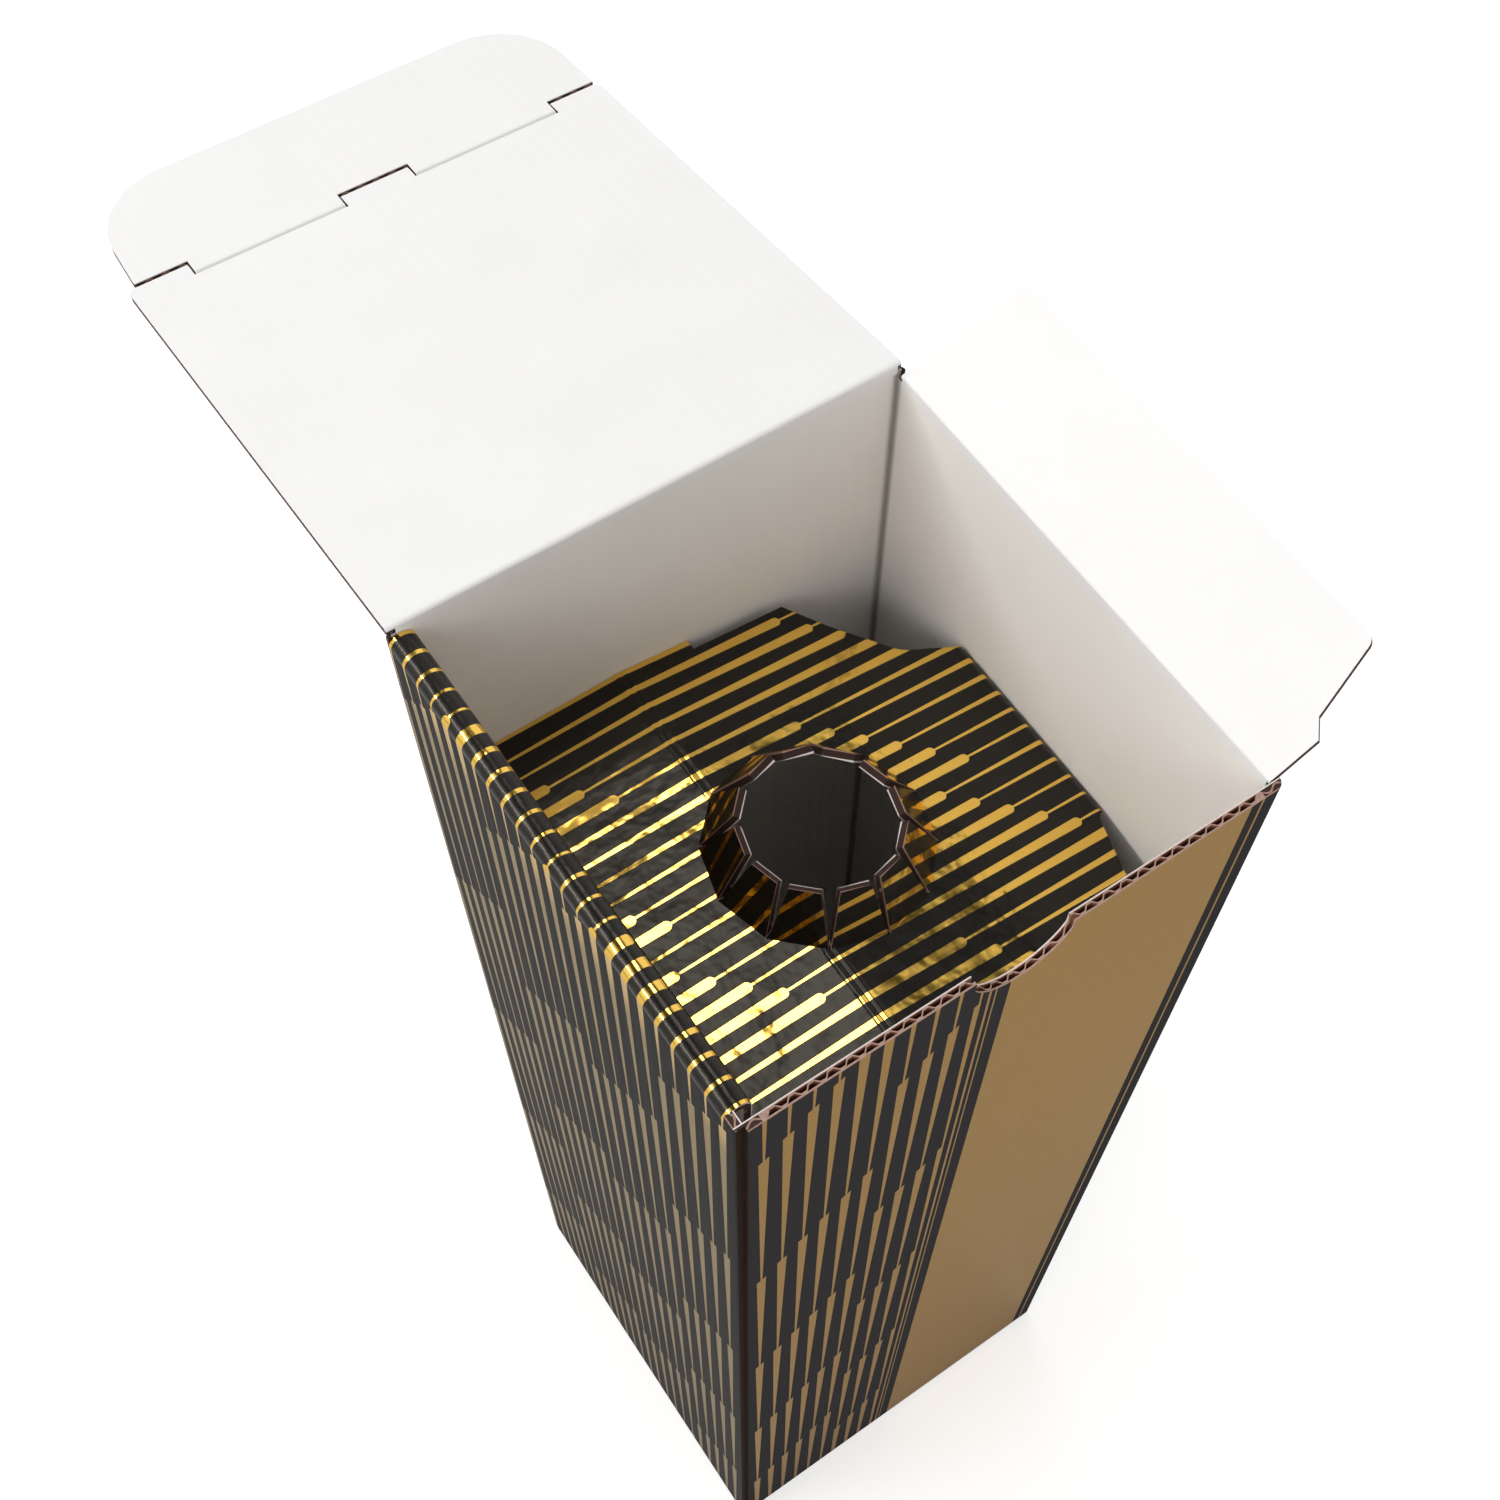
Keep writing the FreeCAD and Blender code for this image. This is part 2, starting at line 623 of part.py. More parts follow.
def star_finger(number):
    """One finger: a tapered tab, bent up from its own root between two slits of the star."""
    count = int(value_of("Sizes.finger_count"))
    radius = value_of("Sizes.neck_radius")
    corners = []
    for k in (number, number + 1):
        turn = 2 * math.pi * k / count
        x, y = radius * math.cos(turn), radius * math.sin(turn)
        corners.append(Vector(x, y, collar_height(x)))
    along = (corners[1] - corners[0]).normalize()
    middle = (corners[0] + corners[1]) * 0.5
    inward = Vector(-middle.x, -middle.y, 0)
    inward = (inward - along * inward.dot(along)).normalize()
    upward = along.cross(inward)
    tilt = math.radians(value_of("Sizes.finger_angle"))
    reach = inward * math.cos(tilt) + upward * math.sin(tilt)
    # The printed face looks outwards and up; the board lies behind it.
    printed = along.cross(reach)

    finger = doc.addObject("Part::Wedge", "Finger%d" % number)
    root, tip = "Sizes.neck_radius * sin(180 deg / Sizes.finger_count)", "Sizes.finger_tip_width / 2"
    for side, sign in (("Xmin", "-"), ("Xmax", "")):
        finger.setExpression(side, sign + root)
    for side, sign in (("X2min", "-"), ("X2max", "")):
        finger.setExpression(side, sign + tip)
    finger.setExpression("Ymin", "-Sizes.finger_root")
    finger.setExpression("Ymax", "Sizes.finger_length")
    for side in ("Zmin", "Z2min"):
        finger.setExpression(side, "-Sizes.board")
    for side in ("Zmax", "Z2max"):
        setattr(finger, side, 0)
    finger.Placement = FreeCAD.Placement(middle, Rotation(along, reach, printed, "XYZ"))
    return finger


def neck_support():
    """The whole neck support: the folded flap fused with its ring of fingers."""
    board = neck_support_board()
    count = int(value_of("Sizes.finger_count"))
    fingers = [star_finger(number) for number in range(count)]
    whole = doc.addObject("Part::MultiFuse", "neck_support")
    whole.Label = "neck_support"
    whole.Shapes = [board] + fingers
    whole.Refine = True
    doc.recompute()
    return whole


def check_document():
    """Stop if any object failed to compute."""
    for item in doc.Objects:
        if any(word in item.State for word in ("Invalid", "Error")):
            raise RuntimeError("%s did not compute" % item.Label)


def write_parts(subparts):
    """Check each sub-part's shape and write it as a STEP file under its own name."""
    os.makedirs(PARTS_FOLDER, exist_ok=True)
    for item in subparts:
        if item.Shape.isNull() or not item.Shape.isValid():
            raise RuntimeError("%s has no valid shape" % item.Label)
    for item in subparts:
        item.Shape.exportStep("%s/%s.step" % (PARTS_FOLDER, item.Label))
        box = item.Shape.BoundBox
        print("%-14s %9.1f mm3  x %.1f..%.1f  y %.1f..%.1f  z %.1f..%.1f  %d solid(s)" % (
            item.Label, item.Shape.Volume, box.XMin, box.XMax, box.YMin, box.YMax,
            box.ZMin, box.ZMax, len(item.Shape.Solids)))


fill_sheet()
SUBPARTS = [carton_body(), neck_support(), lid_panel(), tuck_flap(), dust_flap()]
doc.recompute()
check_document()
write_parts(SUBPARTS)
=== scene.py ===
from math import atan2, cos, floor, hypot, pi, radians, sin

import bmesh
import bpy
from mathutils import Matrix, Vector


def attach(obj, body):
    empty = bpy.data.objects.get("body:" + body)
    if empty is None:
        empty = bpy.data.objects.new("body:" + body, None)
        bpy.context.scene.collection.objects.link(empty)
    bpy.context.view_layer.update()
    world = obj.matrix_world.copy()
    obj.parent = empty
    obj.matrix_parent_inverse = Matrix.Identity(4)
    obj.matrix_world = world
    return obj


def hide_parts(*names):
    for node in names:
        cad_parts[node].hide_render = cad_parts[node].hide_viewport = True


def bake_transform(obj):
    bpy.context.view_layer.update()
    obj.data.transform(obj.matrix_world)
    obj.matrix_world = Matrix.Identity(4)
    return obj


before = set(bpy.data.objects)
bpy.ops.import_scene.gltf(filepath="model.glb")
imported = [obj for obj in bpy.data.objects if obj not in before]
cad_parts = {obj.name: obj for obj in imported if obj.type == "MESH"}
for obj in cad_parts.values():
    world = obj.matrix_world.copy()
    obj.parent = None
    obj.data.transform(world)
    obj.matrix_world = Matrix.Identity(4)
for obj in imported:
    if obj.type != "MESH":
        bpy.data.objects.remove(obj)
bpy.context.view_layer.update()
MM = 0.001

# The camera stands above the near left corner and looks down into the open mouth, as the photograph does.
# It is a pinhole with the photograph's field, a slight roll and the small shift of a cropped picture.
azimuth, elevation, roll = radians(-38.909), radians(61.923), radians(4.419)
camera_place = Vector((-0.09914, -0.12570, 0.56685))
camera_back = Vector((sin(azimuth) * cos(elevation), -cos(azimuth) * cos(elevation), sin(elevation)))
level_right = (-camera_back).cross(Vector((0, 0, 1))).normalized()
level_up = level_right.cross(-camera_back)
camera_right = level_right * cos(roll) + level_up * sin(roll)
camera_up = level_up * cos(roll) - level_right * sin(roll)
lens = bpy.data.cameras.new("camera")
lens.sensor_width = 36
lens.lens = 47.15
lens.shift_x, lens.shift_y = -0.0533, 0.06
lens.clip_start = 0.01
camera = bpy.data.objects.new("camera", lens)
camera.matrix_world = Matrix((
    (camera_right.x, camera_up.x, camera_back.x, camera_place.x),
    (camera_right.y, camera_up.y, camera_back.y, camera_place.y),
    (camera_right.z, camera_up.z, camera_back.z, camera_place.z),
    (0, 0, 0, 1)))
bpy.context.scene.collection.objects.link(camera)
bpy.context.scene.camera = camera
bpy.context.scene.view_settings.view_transform = "Standard"


# The studio: a matt white table top with a small soft box above it, a strip box far to the left and a large
# soft box behind the camera. The room is white to the eye and in reflections low down, and dark overhead, as
# a studio's ceiling is.
def linear(code):
    """An sRGB hex colour as linear red, green, blue and alpha."""
    parts = [int(code[i:i + 2], 16) / 255 for i in (1, 3, 5)]
    return tuple(c / 12.92 if c <= 0.04045 else ((c + 0.055) / 1.055) ** 2.4 for c in parts) + (1.0,)


def add(tree, kind, links=None, **settings):
    """Adds a node with its settings. links gives each input a value, a node or a node's socket."""
    node = tree.nodes.new(kind)
    for name, value in settings.items():
        setattr(node, name, value)
    for name, value in (links or {}).items():
        if isinstance(value, bpy.types.Node):
            tree.links.new(value.outputs[0], node.inputs[name])
        elif isinstance(value, bpy.types.NodeSocket):
            tree.links.new(value, node.inputs[name])
        else:
            node.inputs[name].default_value = value
    return node


def new_material(name):
    """An empty material and its node tree."""
    material = bpy.data.materials.new(name)
    material.use_nodes = True
    material.node_tree.nodes.clear()
    return material, material.node_tree


# ROOM_LIGHT is what the walls send on to the object. A reflection starts to see the ceiling where its
# slope's sine is CEILING_START, and sees nothing else from CEILING_FULL on.
ROOM_LIGHT = 0.58
CEILING_START, CEILING_FULL, CEILING_GLOW = 0.68, 0.85, 0.05

world = bpy.data.worlds.new("studio_room")
bpy.context.scene.world = world
world.use_nodes = True
sky = world.node_tree
sky.nodes.clear()
ray = add(sky, "ShaderNodeLightPath")
seen = add(sky, "ShaderNodeMath", {0: ray.outputs["Is Camera Ray"], 1: ray.outputs["Is Transmission Ray"]},
           operation="MAXIMUM")
direction = add(sky, "ShaderNodeSeparateXYZ", {0: add(sky, "ShaderNodeTexCoord").outputs["Generated"]})
overhead = add(sky, "ShaderNodeMapRange", {0: direction.outputs["Z"], 1: CEILING_START, 2: CEILING_FULL,
                                           3: 1.0, 4: CEILING_GLOW},
               interpolation_type="SMOOTHSTEP")
ambient = add(sky, "ShaderNodeMapRange", {0: ray.outputs["Is Glossy Ray"], 3: ROOM_LIGHT,
                                          4: overhead.outputs[0]})
level = add(sky, "ShaderNodeMapRange", {0: seen, 3: ambient.outputs[0], 4: 1.0})
glow = add(sky, "ShaderNodeBackground", {"Color": (1, 1, 1, 1), "Strength": level.outputs[0]})
add(sky, "ShaderNodeOutputWorld", {"Surface": glow})

# The table top lies a hair below the box, so that no two faces share a plane.
TABLE_HALF, TABLE_GAP = 6.0, 0.2 * MM
TABLE_LIFT = 0.52

table = bmesh.new()
bmesh.ops.create_grid(table, x_segments=1, y_segments=1, size=TABLE_HALF)
bmesh.ops.translate(table, verts=table.verts[:], vec=(0, 0, -TABLE_GAP))
table_mesh = bpy.data.meshes.new("table_top")
table.to_mesh(table_mesh)
table.free()
table_top = bpy.data.objects.new("table_top", table_mesh)
bpy.context.scene.collection.objects.link(table_top)
# Matt white laminate: the camera sees it a little brighter than the object does, and shadows stay in it.
laminate, tree = new_material("matt_white_laminate")
path = add(tree, "ShaderNodeLightPath")
matt = add(tree, "ShaderNodeBsdfDiffuse", {"Color": linear("#dfdedc")})
lift = add(tree, "ShaderNodeMath", {0: path.outputs["Is Camera Ray"], 1: TABLE_LIFT}, operation="MULTIPLY")
whiter = add(tree, "ShaderNodeEmission", {"Strength": lift})
both = add(tree, "ShaderNodeAddShader", {0: matt, 1: whiter})
add(tree, "ShaderNodeOutputMaterial", {"Surface": both})
table_mesh.materials.append(laminate)


def soft_box(name, place, target, width, height, power):
    """A rectangular soft box that points at target."""
    light = bpy.data.lights.new(name, "AREA")
    light.shape = "RECTANGLE"
    light.size, light.size_y, light.energy = width, height, power
    lamp = bpy.data.objects.new(name, light)
    lamp.location = place
    lamp.rotation_euler = (Vector(target) - Vector(place)).to_track_quat("-Z", "Y").to_euler()
    bpy.context.scene.collection.objects.link(lamp)


soft_box("soft_box_above", (0.10, 0.40, 1.50), (0.10, 0.40, 0.0), width=0.40, height=0.40, power=2.85)
soft_box("strip_box_left", (-1.25, 0.60, 1.15), (0, 0, 0.25), width=1.10, height=0.16, power=10.5)
soft_box("soft_box_behind_camera", (-1.5, -1.0, 1.4), (0, 0, 0.2), width=1.0, height=1.0, power=7.5)


# The carton body: four walls and a locked bottom of micro-flute corrugated board, 1.6 mm thick, cut and
# creased from one sheet and closed with a glued tab. Outside it is foil board printed black, and inside it
# has a white liner.
BOARD = 1.6 * MM
FLUTE_PITCH = 3.3 * MM
SAME_POINT = 0.002 * MM
SHARP = radians(28)


def merged_copy(node):
    """A CAD node's mesh as a bmesh, with the corners that its loose triangles share joined."""
    board = bmesh.new()
    board.from_mesh(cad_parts[node].data)
    bmesh.ops.remove_doubles(board, verts=board.verts[:], dist=SAME_POINT)
    return board


def lay_print(board, place):
    """Gives each face a material and its corners a place on the flat printed sheet, in metres.

    place(centre, normal) returns the material's number and a function from a corner to (across, along).
    """
    layer = board.loops.layers.uv.new("print")
    for face in board.faces:
        face.smooth = True
        face.material_index, spot = place(face.calc_center_median(), face.normal)
        for loop in face.loops:
            loop[layer].uv = spot(loop.vert.co)
    for edge in board.edges:
        edge.smooth = edge.is_manifold and edge.calc_face_angle(0) < SHARP


def finish_piece(name, board, materials):
    """Makes the bmesh an object of that name with its materials in order."""
    mesh = bpy.data.meshes.new(name)
    board.to_mesh(mesh)
    board.free()
    for material in materials:
        mesh.materials.append(material)
    piece = bpy.data.objects.new(name, mesh)
    bpy.context.scene.collection.objects.link(piece)
    return piece


def sheet_place(tree):
    """The across and along sockets of the flat printed sheet, in metres."""
    sheet = add(tree, "ShaderNodeSeparateXYZ", {0: add(tree, "ShaderNodeUVMap", uv_map="print")})
    return sheet.outputs[0], sheet.outputs[1]


def board_bump(tree, across, washboard, grain, grain_size, waves=None):
    """Ribs over the flutes, the paper's fine tooth, and a film's waves, given as their depth and length."""
    turns = add(tree, "ShaderNodeMath", {0: across, 1: 2 * pi / FLUTE_PITCH}, operation="MULTIPLY")
    ribs = add(tree, "ShaderNodeMath", {0: turns}, operation="SINE")
    ribs_bump = add(tree, "ShaderNodeBump", {"Strength": 1.0, "Distance": washboard, "Height": ribs})
    spot = add(tree, "ShaderNodeTexCoord")
    tooth = add(tree, "ShaderNodeTexNoise", {"Vector": spot.outputs["Object"], "Scale": 1 / grain_size,
                                             "Detail": 3.0})
    toothed = add(tree, "ShaderNodeBump", {"Strength": 1.0, "Distance": grain, "Height": tooth,
                                           "Normal": ribs_bump})
    if not waves:
        return toothed
    swell = add(tree, "ShaderNodeTexNoise", {"Vector": spot.outputs["Object"], "Scale": 1 / waves[1],
                                             "Detail": 2.0})
    return add(tree, "ShaderNodeBump", {"Strength": 1.0, "Distance": waves[0], "Height": swell,
                                        "Normal": toothed})


# One bar stands in each column, about BAR_LINE. It widens over BAR_RISE, and then the next one starts thin.
BAR_PITCH = 4.26 * MM
BAR_RISE = 63.5 * MM
BAR_THIN, BAR_WIDE = 0.40 * MM, 1.95 * MM
BAR_LINE = 2.1 * MM
BAR_SLANT = 0.55
# The columns climb like a stair. These say how far, in shares of BAR_RISE, and how the flights differ.
FLIGHT_COLUMNS = 6.0
FLIGHT_START, FLIGHT_CLIMB = 0.40, -0.42
FLIGHT_TURN, FLIGHT_SWAY = 2.4, 0.13


def foil_bars(tree, across, along, rounded, columns_from=0.0):
    """1 where the foil shows: bars in columns, each growing upwards and then starting again thin."""
    shifted = add(tree, "ShaderNodeMath", {0: across, 1: columns_from}, operation="SUBTRACT")
    columns = add(tree, "ShaderNodeMath", {0: shifted, 1: BAR_PITCH}, operation="DIVIDE")
    column = add(tree, "ShaderNodeMath", {0: columns}, operation="FLOOR")
    in_column = add(tree, "ShaderNodeMath", {0: columns}, operation="FRACT")
    x = add(tree, "ShaderNodeMath", {0: in_column, 1: BAR_PITCH}, operation="MULTIPLY")
    flight = add(tree, "ShaderNodeMath", {0: column, 1: FLIGHT_COLUMNS}, operation="DIVIDE")
    in_flight = add(tree, "ShaderNodeMath", {0: flight}, operation="FRACT")
    flight_number = add(tree, "ShaderNodeMath", {0: flight}, operation="FLOOR")
    turn = add(tree, "ShaderNodeMath", {0: flight_number, 1: FLIGHT_TURN}, operation="MULTIPLY")
    sway = add(tree, "ShaderNodeMath", {0: turn}, operation="SINE")
    step = add(tree, "ShaderNodeMath", {0: in_flight, 1: FLIGHT_CLIMB, 2: FLIGHT_START},
               operation="MULTIPLY_ADD")
    start = add(tree, "ShaderNodeMath", {0: sway, 1: FLIGHT_SWAY, 2: step}, operation="MULTIPLY_ADD")
    slope = 0.0 if rounded else BAR_SLANT
    slant = add(tree, "ShaderNodeMath", {0: x, 1: -slope, 2: along}, operation="MULTIPLY_ADD")
    turns = add(tree, "ShaderNodeMath", {0: slant, 1: BAR_RISE}, operation="DIVIDE")
    phase = add(tree, "ShaderNodeMath", {0: turns, 1: start}, operation="ADD")
    grown = add(tree, "ShaderNodeMath", {0: phase}, operation="FRACT")
    half_width = add(tree, "ShaderNodeMath", {0: grown, 1: (BAR_WIDE - BAR_THIN) / 2, 2: BAR_THIN / 2},
                     operation="MULTIPLY_ADD")
    off_line = add(tree, "ShaderNodeMath", {0: x, 1: BAR_LINE}, operation="SUBTRACT")
    away = add(tree, "ShaderNodeMath", {0: off_line}, operation="ABSOLUTE")
    bar = add(tree, "ShaderNodeMath", {0: away, 1: half_width}, operation="LESS_THAN")
    if not rounded:
        return bar
    # On the folded flap a bar ends in a half round, and the next thin line leaves from the round's middle.
    half = BAR_WIDE / 2
    to_end = add(tree, "ShaderNodeMath", {0: 1.0, 1: grown}, operation="SUBTRACT")
    end_gap = add(tree, "ShaderNodeMath", {0: to_end, 1: -BAR_RISE, 2: half}, operation="MULTIPLY_ADD")
    past = add(tree, "ShaderNodeMath", {0: end_gap, 1: 0.0}, operation="MAXIMUM")
    side = add(tree, "ShaderNodeMath", {0: away, 1: away}, operation="MULTIPLY")
    reach = add(tree, "ShaderNodeMath", {0: past, 1: past, 2: side}, operation="MULTIPLY_ADD")
    in_round = add(tree, "ShaderNodeMath", {0: reach, 1: half * half}, operation="LESS_THAN")
    round_bar = add(tree, "ShaderNodeMath", {0: bar, 1: in_round}, operation="MULTIPLY")
    line = add(tree, "ShaderNodeMath", {0: away, 1: BAR_THIN / 2}, operation="LESS_THAN")
    return add(tree, "ShaderNodeMath", {0: round_bar, 1: line}, operation="MAXIMUM")


FOLD_START, FOLD_FULL = 294 * MM, 307.4 * MM
TOOTH = 0.35 * MM


def printed_board(name, mask, ink, foil, fold_sheen_foil, rim_tint, ink_rough, foil_rough, fold_rough, ink_gloss,
                  washboard, grain, waves):
    """Foil board under black ink. mask(tree, across, along) is 1 where the ink leaves the foil bare.

    The foil turns from foil to fold_sheen_foil over the last centimetre below a fold, a painted reflection:
    the bright gold sheen that the fold's curve shows. The film's roughness turns to fold_rough there too.
    washboard and grain are the depths of the flutes' ribs and of the paper's tooth.
    """
    material, tree = new_material(name)
    across, along = sheet_place(tree)
    bare = mask(tree, across, along)
    near_fold = add(tree, "ShaderNodeMapRange", {0: along, 1: FOLD_START, 2: FOLD_FULL},
                    interpolation_type="SMOOTHSTEP")
    metal = add(tree, "ShaderNodeMix", {0: near_fold.outputs[0], 6: linear(foil), 7: linear(fold_sheen_foil)},
                data_type="RGBA")
    colour = add(tree, "ShaderNodeMix", {0: bare, 6: linear(ink), 7: metal.outputs[2]}, data_type="RGBA")
    film = add(tree, "ShaderNodeMapRange", {0: near_fold.outputs[0], 3: foil_rough, 4: fold_rough})
    rough = add(tree, "ShaderNodeMapRange", {0: bare, 3: ink_rough, 4: film.outputs[0]})
    bump = board_bump(tree, across, washboard, grain, TOOTH, waves)
    skin = add(tree, "ShaderNodeBsdfPrincipled", {
        "Base Color": colour.outputs[2], "Metallic": bare, "Roughness": rough.outputs[0],
        "Normal": bump, "IOR": 1.5, "Specular IOR Level": ink_gloss, "Specular Tint": linear(rim_tint)})
    add(tree, "ShaderNodeOutputMaterial", {"Surface": skin})
    return material


def wall_bars(tree, across, along):
    return foil_bars(tree, across, along, rounded=False)


# The front's print, from its left edge: where the bars start and end, then each band of bare foil.
FRONT_BARS = (2.2 * MM, 42.9 * MM)
FRONT_BANDS = ((44.2, 44.7), (45.5, 45.8), (48.4, 93.2), (95.3, 95.8))


def front_layout(tree, across, along):
    """Bars over the left four tenths, two thin lines, a broad plain panel and a line by the far edge."""
    bars = foil_bars(tree, across, along, rounded=False, columns_from=FRONT_BARS[0])
    bars_end = add(tree, "ShaderNodeMath", {0: across, 1: FRONT_BARS[1]}, operation="LESS_THAN")
    shown = add(tree, "ShaderNodeMath", {0: bars, 1: bars_end}, operation="MULTIPLY")
    for left, right in FRONT_BANDS:
        middle, half = (left + right) / 2 * MM, (right - left) / 2 * MM
        band = add(tree, "ShaderNodeMath", {0: across, 1: middle, 2: half}, operation="COMPARE")
        shown = add(tree, "ShaderNodeMath", {0: shown, 1: band}, operation="MAXIMUM")
    return shown


# Gold foil board with black ink and a satin film: soft wide reflections, the foil a muted old gold.
# On these walls the foil brightens below the folds into a painted reflection, the sheen of the folds'
# curves.
satin_bars = printed_board("satin_foil_board_with_bars", wall_bars,
                           ink="#151414", foil="#a08c66", fold_sheen_foil="#f0c25c", rim_tint="#f2ece0",
                           ink_rough=0.45, foil_rough=0.34, fold_rough=0.16, ink_gloss=0.03,
                           washboard=0.02 * MM, grain=0.004 * MM, waves=(0.015 * MM, 1.4 * MM))
# Its black ink is painted lighter than the same ink on the walls: painted light, which brightens the front.
satin_front = printed_board("satin_foil_board_with_panel", front_layout,
                            ink="#3f3d3e", foil="#b79154", fold_sheen_foil="#b79154", rim_tint="#f2e6d2",
                            ink_rough=0.45, foil_rough=0.31, fold_rough=0.31, ink_gloss=0.0,
                            washboard=0.02 * MM, grain=0.006 * MM, waves=(0.05 * MM, 1.6 * MM))


# At its creases a liner can darken with painted shade from CORNER_START to CORNER_FULL, counted across a
# wall from its middle. The coating is a little cloudy, in clouds of CLOUD.
CORNER_START, CORNER_FULL, CORNER_SHADE = 46.8 * MM, 48.2 * MM, 0.62
CLOUD = 16.667 * MM


def liner(name, dull, bright, shaded_creases):
    """White clay-coated liner. With shaded_creases it has painted shade, grey where it turns the inner
    corners.
    """
    material, tree = new_material(name)
    across, along = sheet_place(tree)
    cloud = add(tree, "ShaderNodeTexNoise", {"Vector": add(tree, "ShaderNodeTexCoord").outputs["Object"],
                                             "Scale": 1 / CLOUD, "Detail": 4.0})
    tone = add(tree, "ShaderNodeMix", {0: cloud, 6: linear(dull), 7: linear(bright)}, data_type="RGBA")
    # Painted shade: the liner greys towards the inner corners and creases.
    if shaded_creases:
        from_middle = add(tree, "ShaderNodeMath", {0: across}, operation="ABSOLUTE")
        corner = add(tree, "ShaderNodeMapRange", {0: from_middle, 1: CORNER_START, 2: CORNER_FULL,
                                                  3: 0.0, 4: CORNER_SHADE},
                     interpolation_type="SMOOTHSTEP")
        tone = add(tree, "ShaderNodeMix", {0: corner.outputs[0], 6: tone.outputs[2], 7: linear("#5f5a55")},
                   data_type="RGBA")
    paper = add(tree, "ShaderNodeBsdfPrincipled", {
        "Base Color": tone.outputs[2], "Roughness": 0.62, "IOR": 1.45,
        "Normal": board_bump(tree, across, washboard=0.012 * MM, grain=0.006 * MM, grain_size=0.4 * MM)})
    add(tree, "ShaderNodeOutputMaterial", {"Surface": paper})
    return material


# White clay-coated liner: matt, slightly warm, with the flutes just showing through as faint ribs.
white_liner = liner("white_clay_coated_liner", "#eeedec", "#f5f4f3", False)
# The walls' liner is tinted warm as painted light bounced from the gold foil, and has painted corner shade.
wall_liner_painted_bounce_and_shade = liner("white_clay_coated_liner_of_walls", "#f0ebe5", "#f7f3ee", True)
# The tuck crease's liner has painted shade along the crease's groove.
crease_liner_painted_shade = liner("white_clay_coated_liner_with_painted_crease_shade", "#eeedec", "#f5f4f3", True)


# The layers of a cut edge, by depth from the white face: the liner, and the cells about the board's middle.
LINER_DEPTH = 0.2 * MM
CELLS_HALF = 0.6 * MM
FLUTE_SWING = 0.38 * MM
FLUTE_PAPER_HALF = 0.17 * MM
# A cut shows tufts of fibre. Along the flutes it is ragged: whole paper shows where the rag's noise is under
# RAG_WHOLE, and elsewhere hollows painted dark as painted shade.
TUFT, RAG, RAG_WHOLE = 0.55556 * MM, 2.381 * MM, 0.27


def kraft_edge(name, flutes):
    """A cut edge of the board: white liner, brown fluting and brown outer liner, by depth into the board."""
    material, tree = new_material(name)
    run, depth = sheet_place(tree)
    fuzz = add(tree, "ShaderNodeTexNoise", {"Vector": add(tree, "ShaderNodeTexCoord").outputs["Object"],
                                            "Scale": 1 / TUFT, "Detail": 3.0})
    brown = add(tree, "ShaderNodeMix", {0: fuzz, 6: linear("#86604f"), 7: linear("#b8988a")},
                data_type="RGBA")
    if flutes:
        turns = add(tree, "ShaderNodeMath", {0: run, 1: 2 * pi / FLUTE_PITCH}, operation="MULTIPLY")
        wave = add(tree, "ShaderNodeMath", {0: turns}, operation="SINE")
        line = add(tree, "ShaderNodeMath", {0: wave, 1: FLUTE_SWING, 2: BOARD / 2}, operation="MULTIPLY_ADD")
        off = add(tree, "ShaderNodeMath", {0: depth, 1: line}, operation="SUBTRACT")
        away = add(tree, "ShaderNodeMath", {0: off}, operation="ABSOLUTE")
        in_cell = add(tree, "ShaderNodeMath", {0: away, 1: FLUTE_PAPER_HALF}, operation="GREATER_THAN")
    else:
        rag = add(tree, "ShaderNodeTexNoise", {"Vector": add(tree, "ShaderNodeTexCoord").outputs["Object"],
                                               "Scale": 1 / RAG, "Detail": 2.0})
        in_cell = add(tree, "ShaderNodeMath", {0: rag, 1: RAG_WHOLE}, operation="GREATER_THAN")
    core = add(tree, "ShaderNodeMath", {0: depth, 1: BOARD / 2, 2: CELLS_HALF}, operation="COMPARE")
    # The open cells are painted near black, as painted shade in their hollows.
    dark = add(tree, "ShaderNodeMath", {0: core, 1: in_cell}, operation="MULTIPLY")
    celled = add(tree, "ShaderNodeMix", {0: dark, 6: brown.outputs[2], 7: linear("#36201a")},
                 data_type="RGBA")
    inner = add(tree, "ShaderNodeMath", {0: depth, 1: LINER_DEPTH}, operation="LESS_THAN")
    lined = add(tree, "ShaderNodeMix", {0: inner, 6: celled.outputs[2], 7: linear("#e6dcd6")},
                data_type="RGBA")
    tear = add(tree, "ShaderNodeBump", {"Strength": 1.0, "Distance": 0.06 * MM, "Height": fuzz})
    pulp = add(tree, "ShaderNodeBsdfPrincipled", {"Base Color": lined.outputs[2], "Roughness": 0.9,
                                                  "Normal": tear})
    add(tree, "ShaderNodeOutputMaterial", {"Surface": pulp})
    return material


# Die-cut corrugated edges: fibrous unbleached paper, with open flutes across the grain and a ragged line
# along it.
fluted_edge = kraft_edge("die_cut_edge_across_flutes", True)
plain_edge = kraft_edge("die_cut_edge_along_flutes", False)

